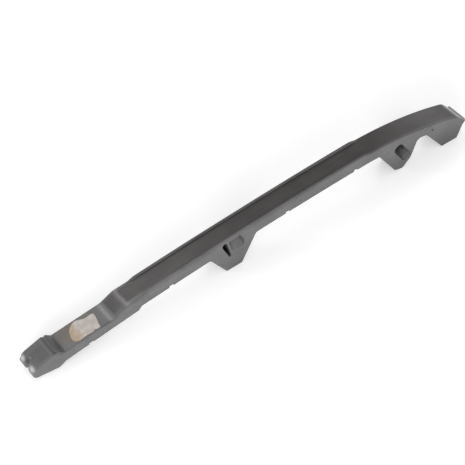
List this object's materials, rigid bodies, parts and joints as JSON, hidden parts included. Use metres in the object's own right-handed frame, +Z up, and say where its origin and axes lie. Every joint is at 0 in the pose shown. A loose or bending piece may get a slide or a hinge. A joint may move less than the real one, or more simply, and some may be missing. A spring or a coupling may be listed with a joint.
{
  "type": "timing chain guide",
  "caption": "Long curved nylon guide rail for a timing chain: low rims along its sliding face, a notched block at one end and locating pods below.",
  "frame": {"origin": "under the middle of the part, on the plane that the feet of the middle and the end pod stand on", "axes": "+X along the rail from the notched block to the hooked nose, +Y across the rail to the side without pockets, +Z up out of the sliding face"},
  "size_m": [0.2538, 0.012, 0.0252],
  "materials": {
    "guide_rail": "charcoal moulded nylon, satin, with the sliding face polished by the chain"
  },
  "bodies": {
    "root": {"guide_rail": "guide_rail"}
  },
  "joints": []
}
